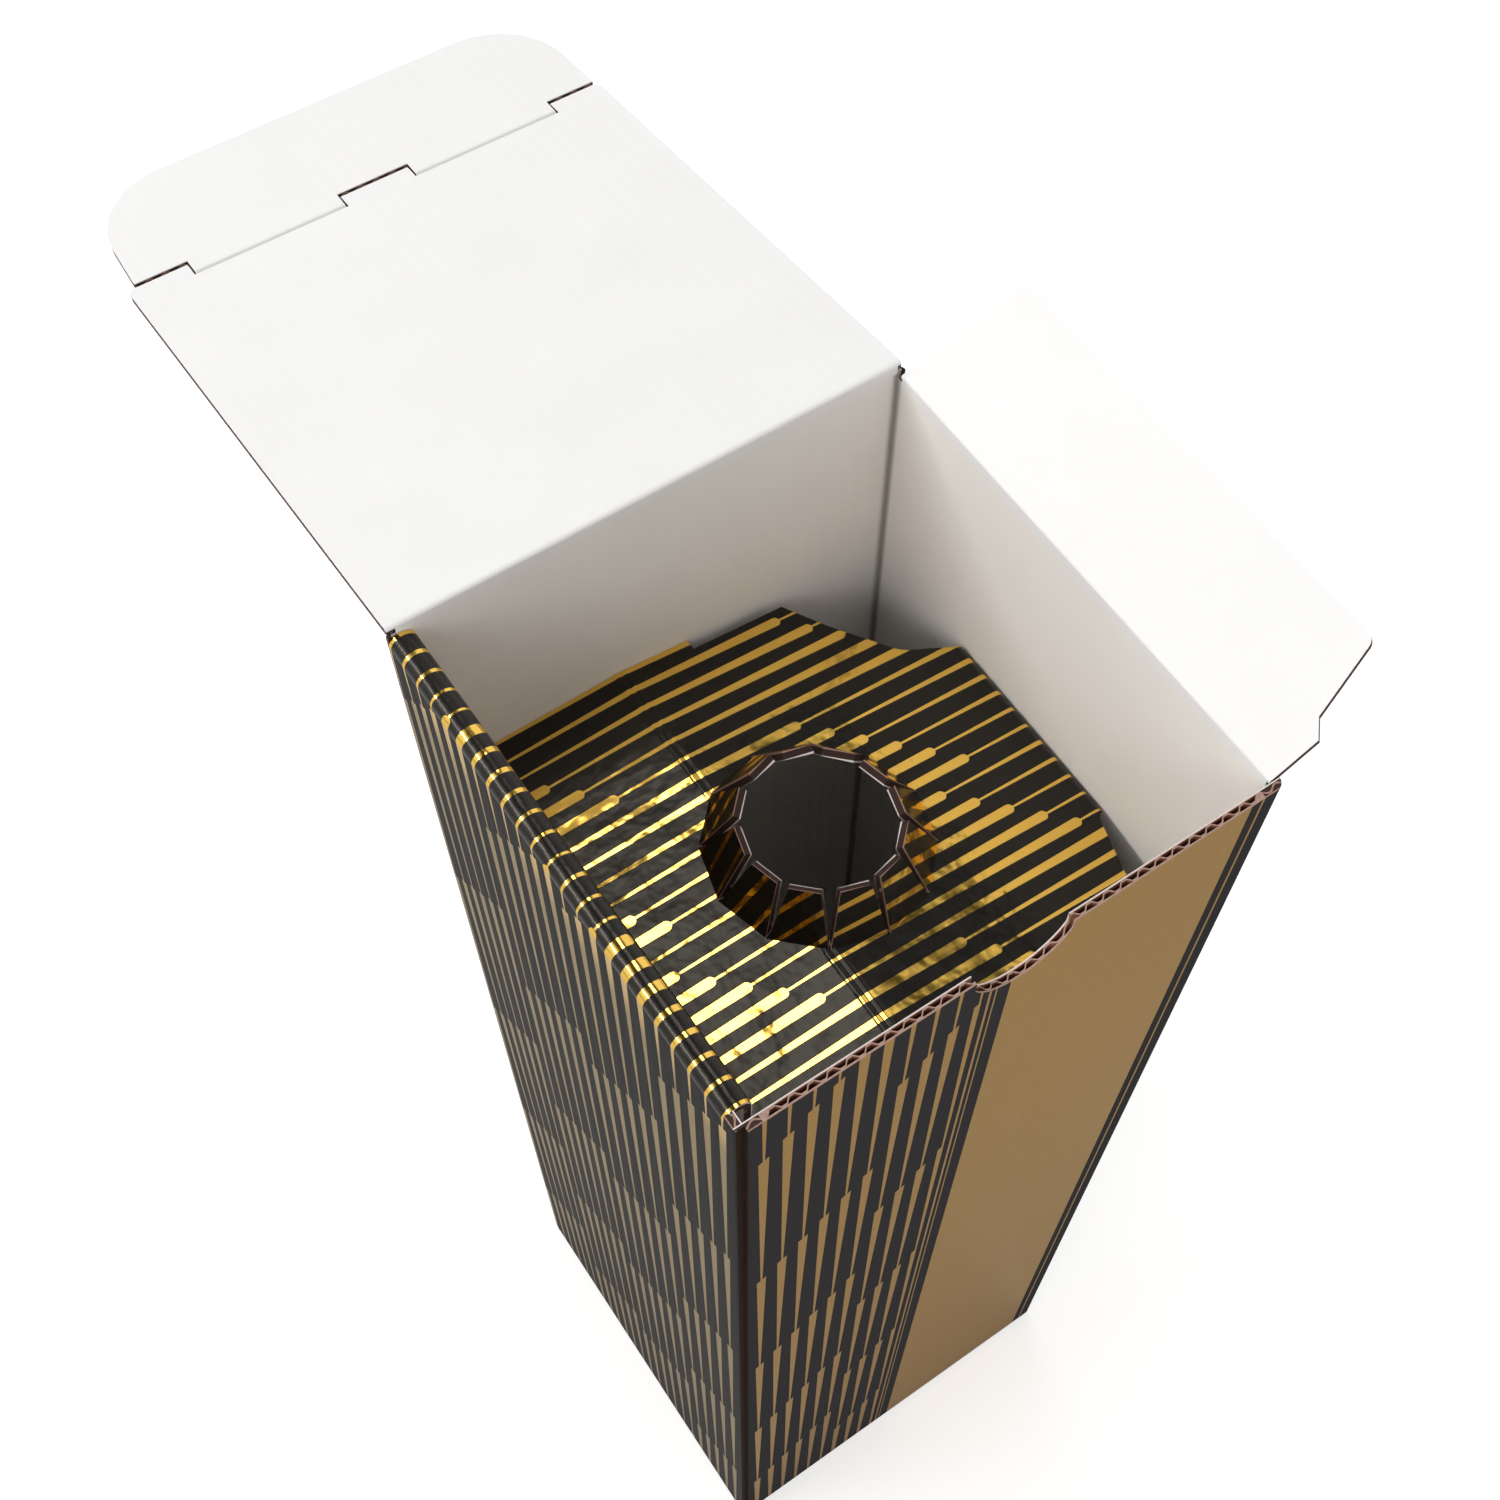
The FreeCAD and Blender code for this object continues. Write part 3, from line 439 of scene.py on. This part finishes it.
# The solid paper of a cut rim whose flutes are open: liners and fluting, with no painted cells.
RIM_TUFT = 0.66667 * MM
rim_paper, tree = new_material("die_cut_rim_paper")
run, depth = sheet_place(tree)
fuzz = add(tree, "ShaderNodeTexNoise", {"Vector": add(tree, "ShaderNodeTexCoord").outputs["Object"],
                                        "Scale": 1 / RIM_TUFT, "Detail": 3.0})
brown = add(tree, "ShaderNodeMix", {0: fuzz, 6: linear("#8a6657"), 7: linear("#c0a193")}, data_type="RGBA")
inner = add(tree, "ShaderNodeMath", {0: depth, 1: LINER_DEPTH}, operation="LESS_THAN")
rim_tone = add(tree, "ShaderNodeMix", {0: inner, 6: brown.outputs[2], 7: linear("#e2d5cf")},
               data_type="RGBA")
pulp = add(tree, "ShaderNodeBsdfPrincipled", {
    "Base Color": rim_tone.outputs[2], "Roughness": 0.9,
    "Normal": add(tree, "ShaderNodeBump", {"Strength": 1.0, "Distance": 0.05 * MM, "Height": fuzz})})
add(tree, "ShaderNodeOutputMaterial", {"Surface": pulp})

# The inside of the flutes: unbleached fluting paper, red-brown in its own shade, with flecks of fibre.
FLECK = 1.1111 * MM
fluting, tree = new_material("unbleached_fluting_paper")
fibre = add(tree, "ShaderNodeTexNoise", {"Vector": add(tree, "ShaderNodeTexCoord").outputs["Object"],
                                         "Scale": 1 / FLECK, "Detail": 4.0})
tone = add(tree, "ShaderNodeMix", {0: fibre, 6: linear("#84553f"), 7: linear("#ab7a62")}, data_type="RGBA")
pulp = add(tree, "ShaderNodeBsdfPrincipled", {"Base Color": tone.outputs[2], "Roughness": 0.95})
add(tree, "ShaderNodeOutputMaterial", {"Surface": pulp})

# The corner's raw edge: cut board in the corner's groove, painted near black as painted shade, brown in
# patches.
TEAR_SIZE = 1.4286 * MM
shaded_raw_edge, tree = new_material("raw_edge_with_painted_shade")
torn = add(tree, "ShaderNodeTexNoise", {"Vector": add(tree, "ShaderNodeTexCoord").outputs["Object"],
                                        "Scale": 1 / TEAR_SIZE, "Detail": 3.0})
tone = add(tree, "ShaderNodeMix", {0: torn, 6: linear("#0e0806"), 7: linear("#35200f")}, data_type="RGBA")
pulp = add(tree, "ShaderNodeBsdfPrincipled", {"Base Color": tone.outputs[2], "Roughness": 0.8,
                                              "Specular IOR Level": 0.1})
add(tree, "ShaderNodeOutputMaterial", {"Surface": pulp})

HALF_BOX = 50 * MM
INNER = HALF_BOX - BOARD
FOLD = 1.8 * MM
# A face within AT_FACE of a level lies on it, and one within AT_PRINT of the outside belongs to the print.
AT_FACE, AT_PRINT = 0.02 * MM, 0.08 * MM
CREASE_MIDDLE, CREASE_LOW = 49.2 * MM, 309 * MM
TAB_FACE, TAB_EDGE = -46.8 * MM, -34 * MM
CORNER_TOP = 307.5 * MM
# The underside is plain ink, so its print is shrunk to a spot beside a bar. The floor's inside is narrowed,
# so that the painted corner shade of the walls stays off it.
INK_SPOT, FLOOR_SHARE = 0.02, 0.9
# The front wall's open flutes: how far they reach from the middle, and the depths between which they lie.
RIM_END, CELLS_END = 45.9 * MM, 46 * MM
CELLS_OUTER, CELLS_INNER, CELLS_TOP = -49.75 * MM, -48.62 * MM, 309.9 * MM
PRINT, FRONT, LINER, EDGE, CORE, PLAIN, FLUTED, SHADED_RAW = range(8)


def is_outside(at, out):
    """True for a face of the walls' printed side, folds and crease rounds included."""
    x, y = abs(at.x), abs(at.y)
    turned_out = out.x * at.x > 0 and x > y or out.y * at.y > 0 and y > x
    if max(x, y) > HALF_BOX - AT_PRINT:
        return abs(out.z) < 0.95 and turned_out
    if min(x, y) > HALF_BOX - FOLD and abs(out.z) < 0.5:
        return hypot(x - HALF_BOX + FOLD, y - HALF_BOX + FOLD) > FOLD - AT_PRINT
    on_crease = at.z > CREASE_LOW and max(at.x, at.y) > CREASE_MIDDLE
    return on_crease and max(out.x, out.y) > 0.05 and out.z < 0.97


def carton_place(at, out):
    """The carton's print runs round it from the left wall's back edge, and up from the floor."""
    if out.z < -0.9 and at.z < 0.1 * MM:
        return PRINT, lambda p: (p.x * INK_SPOT, p.y * INK_SPOT)
    if is_outside(at, out):
        if abs(out.y) > abs(out.x):
            if at.y < 0:
                return FRONT, lambda p: (p.x + HALF_BOX, p.z)
            return FRONT, lambda p: (HALF_BOX - p.x, p.z)
        if at.x < 0:
            return PRINT, lambda p: (HALF_BOX - p.y, p.z)
        return PRINT, lambda p: (p.y + HALF_BOX, p.z)
    inside = max(abs(at.x), abs(at.y)) < INNER + AT_FACE and at.z > BOARD - AT_FACE / 2
    on_tab = at.x < TAB_FACE + AT_FACE and at.y < TAB_EDGE
    if inside and not (on_tab and abs(out.x) < 0.5):
        if abs(out.z) > 0.9:
            return LINER, lambda p: (p.x * FLOOR_SHARE, p.y)
        if abs(out.x) > abs(out.y):
            return LINER, lambda p: (p.y, p.z)
        return LINER, lambda p: (p.x, p.z)
    if at.z < BOARD or inside:
        return PLAIN, lambda p: (p.x, p.z)
    # The corner's raw edge gets the painted shade of its groove.
    if at.x < -INNER + AT_FACE and at.y < -INNER and at.z < CORNER_TOP:
        return SHADED_RAW, lambda p: (p.x, p.z)
    if abs(at.x) < CELLS_END and CELLS_OUTER < at.y < CELLS_INNER and out.z < 0.3:
        square_to_wall = hypot(out.x, out.z) > 0.97 and abs(out.y) < 0.1
        on_notch = square_to_wall and at.z < CELLS_TOP and out.z > 0.05
        if not on_notch:
            return CORE, lambda p: (p.x, p.z)
    if at.y < -INNER:
        return (EDGE if abs(at.x) < RIM_END else FLUTED), lambda p: (p.x, -INNER - p.y)
    if abs(at.x) > INNER:
        return FLUTED, lambda p: (p.y, abs(p.x) - INNER)
    return FLUTED, lambda p: (p.x, abs(p.y) - INNER)


walls = merged_copy("carton_body")
for side in (-1, 1):
    bmesh.ops.bisect_plane(walls, geom=walls.verts[:] + walls.edges[:] + walls.faces[:], dist=SAME_POINT / 2,
                           plane_co=(side * RIM_END, 0, 0), plane_no=(1, 0, 0))
lay_print(walls, carton_place)
carton_walls = finish_piece("carton_walls", walls, [satin_bars, satin_front, wall_liner_painted_bounce_and_shade, rim_paper, fluting,
                                                    plain_edge, fluted_edge, shaded_raw_edge])
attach(carton_walls, "carton")
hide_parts("carton_body")


# The neck support: the left wall's long flap, rolled over the rim and folded down, across and down again.
# It is the same board, with a gloss film over the foil. The star cut's fingers are bent up into a ring,
# which holds what stands in the box.
def collar_bars(tree, across, along):
    return foil_bars(tree, across, along, rounded=True)


# Gold foil board with black ink and a gloss film: sharp reflections, the foil bright yellow gold.
gloss_bars = printed_board("gloss_foil_board_with_bars", collar_bars,
                           ink="#141313", foil="#f8cb60", fold_sheen_foil="#f8cb60", rim_tint="#fff4e2",
                           ink_rough=0.27, foil_rough=0.13, fold_rough=0.13, ink_gloss=0.32,
                           washboard=0.004 * MM, grain=0.002 * MM, waves=(0.26 * MM, 5.0 * MM))

# The places of the roll, the inner panel, the collar's two slopes and the leg, all on their printed faces.
ROLL_X, ROLL_Z, ROLL_R = -47.6 * MM, 307.6 * MM, 2.4 * MM
PANEL_X = -45.2 * MM
COLLAR_Z = 265.8 * MM
RIDGE_X, RIDGE_Z = -10.5 * MM, 266.6 * MM
SHELF_X, SHELF_Z = 48.1 * MM, 260.2 * MM
HOLE_R = 21 * MM
FINGER_STEP = radians(360 / 12)
FINGER_TILT = radians(58)
LEG_TOP = 257.5 * MM
# How far along the printed sheet each of them starts.
ROLL_RUN = ROLL_Z + pi * ROLL_R
PANEL_RUN = ROLL_RUN + ROLL_Z - COLLAR_Z
SHELF_RUN = PANEL_RUN + SHELF_X - PANEL_X


def collar_height(x):
    """Height of the collar's printed face at x."""
    if x < RIDGE_X:
        return COLLAR_Z + (RIDGE_Z - COLLAR_Z) * (x - PANEL_X) / (RIDGE_X - PANEL_X)
    return RIDGE_Z + (SHELF_Z - RIDGE_Z) * (x - RIDGE_X) / (SHELF_X - RIDGE_X)


def inward_at(p):
    """The direction towards the hole's middle, square to the side of the star cut that p stands on."""
    side = floor(atan2(p.y, p.x) / FINGER_STEP)
    angle = FINGER_STEP * (side + 0.5)
    return Vector((-cos(angle), -sin(angle), 0))


def edge_depth(p, inward):
    """How deep in the board a point of a finger's cut edge lies, counted from the white liner."""
    root = inward * (-HOLE_R * cos(FINGER_STEP / 2))
    root.z = collar_height(root.x)
    print_side = Vector((0, 0, cos(FINGER_TILT))) - inward * sin(FINGER_TILT)
    return BOARD + (p - root).dot(print_side)


def on_roll(p):
    turn = atan2(p.z - ROLL_Z, ROLL_X - p.x)
    return HALF_BOX - p.y, ROLL_Z + ROLL_R * turn


def on_panel(p):
    return HALF_BOX - p.y, ROLL_RUN + ROLL_Z - p.z


def on_collar(p):
    return HALF_BOX - p.y, PANEL_RUN + p.x - PANEL_X


def on_leg(p):
    return HALF_BOX - p.y, SHELF_RUN + SHELF_Z - p.z


def on_finger(p):
    """A finger's print, as it was before the finger was bent up out of the collar."""
    inward = inward_at(p)
    lift = max(p.z - collar_height(p.x), 0)
    flat = p + inward * (lift / sin(FINGER_TILT)) * (1 - cos(FINGER_TILT))
    return HALF_BOX - flat.y, PANEL_RUN + flat.x - PANEL_X


# The materials of a flap, by number: its two faces, and its cut edges along and across the flutes.
INKED, WHITE, CUT_ALONG, CUT_ACROSS = range(4)
FACING = 0.7
NEAR = 0.3 * MM


def neck_place(at, out):
    """Which stretch of the folded flap a face belongs to, and whether it is printed, white or a cut edge."""
    if at.z > ROLL_Z - 0.01 * MM:
        if abs(out.y) > FACING:
            return CUT_ALONG, lambda p: (p.z, ROLL_R - hypot(p.x - ROLL_X, p.z - ROLL_Z))
        radius = hypot(at.x - ROLL_X, at.z - ROLL_Z)
        return (INKED if radius > ROLL_R - BOARD / 2 else WHITE), on_roll
    in_hole = hypot(at.x, at.y) < HOLE_R + NEAR and at.z > collar_height(at.x) + NEAR / 2
    if in_hole:
        lean = out.dot(inward_at(at))
        if lean < -FACING and 0.35 < out.z < FACING:
            return INKED, on_finger
        if lean > FACING and -FACING < out.z < -0.35:
            return WHITE, on_finger
        finger = inward_at(at - out * NEAR)
        return CUT_ALONG, lambda p: (p.z, edge_depth(p, finger))
    if at.x < PANEL_X + NEAR and at.z > COLLAR_Z - 1.0 * MM:
        if abs(out.y) > FACING:
            return CUT_ALONG, lambda p: (p.z, PANEL_X - p.x)
        return (INKED if out.x > 0.3 else WHITE), on_panel
    if at.z < LEG_TOP:
        if abs(out.x) > FACING:
            return (INKED if out.x > 0 else WHITE), on_leg
        if abs(out.z) > FACING:
            return CUT_ACROSS, lambda p: (p.y, SHELF_X - p.x)
        return CUT_ALONG, lambda p: (p.z, SHELF_X - p.x)
    if out.z > 0.4:
        return INKED, on_collar
    if out.z < -0.4:
        return WHITE, on_collar
    if abs(out.x) > 0.95 and at.x > SHELF_X - NEAR:
        return INKED, on_leg
    return CUT_ALONG, lambda p: (p.x + p.y, collar_height(p.x) - p.z)


# The crease's section, in millimetres: each point's distance from the ridge, and how far it stands up.
RIDGE_RAILS = ((-1.7, 0), (-1.25, 0.05), (-0.85, 0.2), (-0.5, 0.1), (0, -0.06), (0.5, 0.1), (0.85, 0.2),
               (1.25, 0.05), (1.7, 0))


def press_ridge(board):
    """The crease across the collar was pressed between two rules from below, so it is a double ridge."""
    for offset, _ in RIDGE_RAILS:
        bmesh.ops.bisect_plane(board, geom=board.verts[:] + board.edges[:] + board.faces[:],
                               dist=SAME_POINT / 2, plane_co=(RIDGE_X + offset * MM, 0, 0),
                               plane_no=(1, 0, 0))
    flat = {v: collar_height(v.co.x) - v.co.z for v in board.verts}
    for offset, rise in RIDGE_RAILS:
        for v in board.verts:
            if abs(v.co.x - RIDGE_X - offset * MM) < SAME_POINT and -0.1 * MM < flat[v] < 1.8 * MM:
                v.co.z += rise * MM


support = merged_copy("neck_support")
press_ridge(support)
lay_print(support, neck_place)
neck_flap = finish_piece("neck_support_flap", support, [gloss_bars, white_liner, plain_edge, fluted_edge])
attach(neck_flap, "carton")
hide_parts("neck_support")


# The lid with its tuck flap, and the dust flap: flat board, white inside, each turning about its own crease.
# The lid hangs on the back wall and lies open, and the dust flap stands up from the right wall. They are cut
# from the same sheet as the walls, and the same print runs on over them.
LID_TURN = radians(-8)
TUCK_TURN = radians(-3)
DUST_LIFT = radians(28)
LID_HINGE = Vector((0, 49.2, 311.2)) * MM
TUCK_HINGE = Vector((0, 144.761, 297.770)) * MM
DUST_HINGE = Vector((49.2, 0, 309.2)) * MM
# How far along the printed sheet, from the floor up, each flap's crease lies.
LID_PRINT, TUCK_PRINT, DUST_PRINT = 311.2 * MM, 407.7 * MM, 309.2 * MM


def flap_place(hinge, side, reach, up, print_from):
    """Where the faces of a flat flap belong: side runs along its crease, reach away from it, up is white."""
    def across(p):
        return (p - hinge).dot(side)

    def along(p):
        return (p - hinge).dot(reach)

    def depth(p):
        return BOARD / 2 - (p - hinge).dot(up)

    def place(at, out):
        facing = out.dot(up)
        if abs(facing) > 0.6 or along(at) < 0:
            if facing > 0:
                return WHITE, lambda p: (across(p), along(p))
            return INKED, lambda p: (HALF_BOX + across(p), print_from + along(p))
        if abs(out.dot(reach)) > 0.5:
            return CUT_ACROSS, lambda p: (across(p), depth(p))
        return CUT_ALONG, lambda p: (along(p), depth(p))
    return place


lid = merged_copy("lid_panel")
lay_print(lid, flap_place(LID_HINGE, Vector((-1, 0, 0)), Vector((0, cos(LID_TURN), sin(LID_TURN))),
                          Vector((0, -sin(LID_TURN), cos(LID_TURN))), LID_PRINT))
lid_board = finish_piece("lid_board", lid, [satin_front, white_liner, plain_edge, fluted_edge])
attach(lid_board, "lid")
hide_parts("lid_panel")

tuck = merged_copy("tuck_flap")
lay_print(tuck, flap_place(TUCK_HINGE, Vector((-1, 0, 0)), Vector((0, cos(TUCK_TURN), sin(TUCK_TURN))),
                           Vector((0, -sin(TUCK_TURN), cos(TUCK_TURN))), TUCK_PRINT))
tuck_board = finish_piece("tuck_board", tuck, [satin_front, white_liner, plain_edge, fluted_edge])
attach(tuck_board, "tuck")
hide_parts("tuck_flap")

dust = merged_copy("dust_flap")
lay_print(dust, flap_place(DUST_HINGE, Vector((0, 1, 0)), Vector((cos(DUST_LIFT), 0, sin(DUST_LIFT))),
                           Vector((-sin(DUST_LIFT), 0, cos(DUST_LIFT))), DUST_PRINT))
dust_board = finish_piece("dust_board", dust, [satin_bars, white_liner, plain_edge, fluted_edge])
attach(dust_board, "dust")
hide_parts("dust_flap")


# The creases: the liner and the print run on over each fold without a break, so thin skins of paper bend
# there. They are the board's own two papers, one on the white side of each crease and one on the printed
# side, pressed in by the creasing rule.
SKIN = 0.10 * MM
SKIN_R = BOARD / 2 + 0.01 * MM
ARC_STEPS = 10


def draw_out(strip, along_crease):
    """Draws the section of a crease, a chain of edges, out into a sheet."""
    sheet = bmesh.ops.extrude_edge_only(strip, edges=strip.edges[:])
    moved = [v for v in sheet["geom"] if isinstance(v, bmesh.types.BMVert)]
    bmesh.ops.translate(strip, verts=moved, vec=along_crease)
    bmesh.ops.recalc_face_normals(strip, faces=strip.faces[:])


def finish_skin(name, strip, material, print_spot):
    """Gives the sheet its thickness, its place on the print and its paper."""
    bmesh.ops.solidify(strip, geom=strip.faces[:], thickness=SKIN)
    bmesh.ops.recalc_face_normals(strip, faces=strip.faces[:])
    lay_print(strip, lambda at, out: (0, print_spot))
    return finish_piece(name, strip, [material])


def crease_skin(name, hinge, reach, side, ends, start, turn, tails, material, print_spot):
    """A strip of paper round a crease: a tail up the wall, an arc about the hinge and a tail along the flap.

    start and turn are the arc's angles from reach towards up; tails are the two straight lengths.
    """
    up = Vector((0, 0, 1))
    strip = bmesh.new()

    def spot(angle):
        return hinge + reach * (SKIN_R * cos(angle)) + up * (SKIN_R * sin(angle))

    sense = 1 if turn > 0 else -1
    first = strip.verts.new(spot(start) - up * tails[0])
    grown = bmesh.ops.extrude_vert_indiv(strip, verts=[first])["verts"][0]
    grown.co = spot(start)
    # The open flap folds the print back on itself, so there its arc starts from a corner of its own.
    root = grown if start else strip.verts.new(spot(start))
    axis = reach.cross(up)
    swept = bmesh.ops.spin(strip, geom=[root], cent=hinge, axis=axis, angle=turn, steps=ARC_STEPS)
    last = [v for v in swept["geom_last"] if isinstance(v, bmesh.types.BMVert)][0]
    if tails[1]:
        end = start + turn
        after = (reach * -sin(end) + up * cos(end)) * sense
        tip = bmesh.ops.extrude_vert_indiv(strip, verts=[last])["verts"][0]
        tip.co = last.co + after * tails[1]
    bmesh.ops.translate(strip, verts=strip.verts[:], vec=side * ends[0])
    draw_out(strip, side * (ends[1] - ends[0]))
    middle = hinge + side * (ends[0] + ends[1]) / 2
    sample = strip.faces[len(strip.faces) // 2]
    if sample.normal.dot(sample.calc_center_median() - middle) < 0:
        bmesh.ops.reverse_faces(strip, faces=strip.faces[:])
    return finish_skin(name, strip, material, print_spot)


LID_ENDS, LID_ARC = (-48.2 * MM, 48.2 * MM), radians(-98)
lid_inner = crease_skin("lid_crease_liner", LID_HINGE, Vector((0, 1, 0)), Vector((1, 0, 0)), LID_ENDS,
                        start=pi, turn=LID_ARC, tails=(1.8 * MM, 1.5 * MM), material=white_liner,
                        print_spot=lambda p: (p.x, p.y))
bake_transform(lid_inner)
lid_outer = crease_skin("lid_crease_print", LID_HINGE, Vector((0, 1, 0)), Vector((1, 0, 0)), LID_ENDS,
                        start=0, turn=LID_ARC, tails=(1.8 * MM, 0), material=satin_front,
                        print_spot=lambda p: (HALF_BOX - p.x, p.z))
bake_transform(lid_outer)

DUST_ENDS, DUST_ARC = (-47.6 * MM, 47.2 * MM), radians(-62)
dust_inner = crease_skin("dust_crease_liner", DUST_HINGE, Vector((1, 0, 0)), Vector((0, 1, 0)), DUST_ENDS,
                         start=pi, turn=DUST_ARC, tails=(2.4 * MM, 1.2 * MM), material=white_liner,
                         print_spot=lambda p: (p.y, p.z))
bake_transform(dust_inner)
dust_outer = crease_skin("dust_crease_print", DUST_HINGE, Vector((1, 0, 0)), Vector((0, 1, 0)), DUST_ENDS,
                         start=0, turn=DUST_ARC, tails=(2.4 * MM, 0), material=satin_bars,
                         print_spot=lambda p: (p.y + HALF_BOX, p.z))
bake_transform(dust_outer)


# The tuck's crease, in millimetres: where its two stretches between the slits start, their length, and the
# section of its groove, as each point's distance from the hinge and its depth.
TUCK_STARTS, TUCK_STRETCH = (-37.5, 7.6), 29.9
TUCK_GROOVE = ((-1.8, 0), (-1.4, 0), (-1.18, 0.1), (-1.0, 0.34), (-0.85, 0.4), (-0.65, 0.26),
               (-0.4, 0.06), (-0.2, 0), (0.1, 0), (0.4, 0), (0.9, 0))


def fold_skin(name, outwards, material, print_spot):
    """The two strips of paper across the tuck's crease, between its slits. outwards is 1 on the white side.

    The rule that pressed the crease left a groove in them, in the gap between the two boards.
    """
    strip = bmesh.new()
    lid_reach = Vector((0, cos(LID_TURN), sin(LID_TURN)))
    tuck_reach = Vector((0, cos(TUCK_TURN), sin(TUCK_TURN)))
    for left in TUCK_STARTS:
        tip = None
        for run, dip in TUCK_GROOVE:
            reach = lid_reach if run < 0 else tuck_reach
            up = Vector((0, -reach.z, reach.y))
            at = TUCK_HINGE + reach * (run * MM) + up * ((SKIN_R - dip * MM) * outwards)
            if tip:
                tip = bmesh.ops.extrude_vert_indiv(strip, verts=[tip])["verts"][0]
            else:
                tip = strip.verts.new()
            tip.co = at + Vector((left * MM, 0, 0))
    draw_out(strip, Vector((TUCK_STRETCH * MM, 0, 0)))
    for face in [face for face in strip.faces if face.normal.z * outwards < 0]:
        face.normal_flip()
    return finish_skin(name, strip, material, print_spot)


# The groove's far side lies before the hinge. Its painted shade there is as dark as a wall's corner shade at
# GROOVE_SHADE_AT from the wall's middle.
FAR_SIDE, GROOVE_SHADE_AT = -0.55 * MM, 47.6 * MM


def groove_shade_spot(p):
    """The crease's own line gets painted shade as the inner corners do: it is darkest on the groove's far
    side.
    """
    from_groove = abs((p - TUCK_HINGE).y - FAR_SIDE)
    return GROOVE_SHADE_AT - from_groove, p.x


tuck_inner = fold_skin("tuck_crease_liner", 1, crease_liner_painted_shade, groove_shade_spot)
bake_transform(tuck_inner)
tuck_outer = fold_skin("tuck_crease_print", -1, satin_front,
                       lambda p: (HALF_BOX - p.x, TUCK_PRINT + (p - TUCK_HINGE).y))
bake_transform(tuck_outer)
